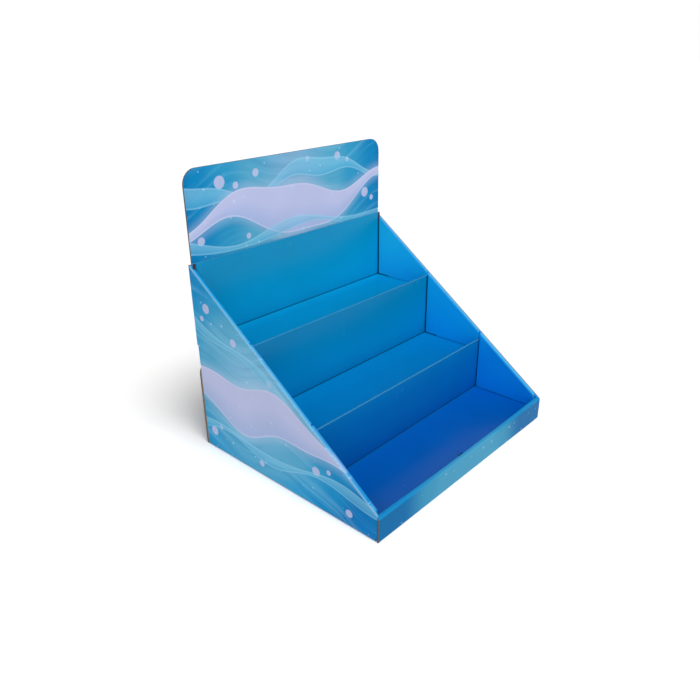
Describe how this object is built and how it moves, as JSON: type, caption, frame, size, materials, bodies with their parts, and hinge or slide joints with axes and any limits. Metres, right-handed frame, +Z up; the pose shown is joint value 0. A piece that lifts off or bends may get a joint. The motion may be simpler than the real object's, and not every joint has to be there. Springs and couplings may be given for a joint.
{
  "type": "counter display stand",
  "caption": "Counter display stand of folded corrugated card, with stepped tiers, low walls behind them, sloping sides and a header card with rounded corners.",
  "frame": {"origin": "on the ground, under the middle of the stand", "axes": "+Z up, the front lip faces -Y, +X to the right of someone who faces the back"},
  "size_m": [0.28, 0.2406, 0.288],
  "materials": {
    "tray_board": "gloss print",
    "step_board": "gloss print",
    "header_board": "gloss print"
  },
  "bodies": {
    "root": {"tray": "tray_board", "front_step": "step_board", "middle_step": "step_board", "back_step": "step_board", "header_card": "header_board"}
  },
  "joints": []
}
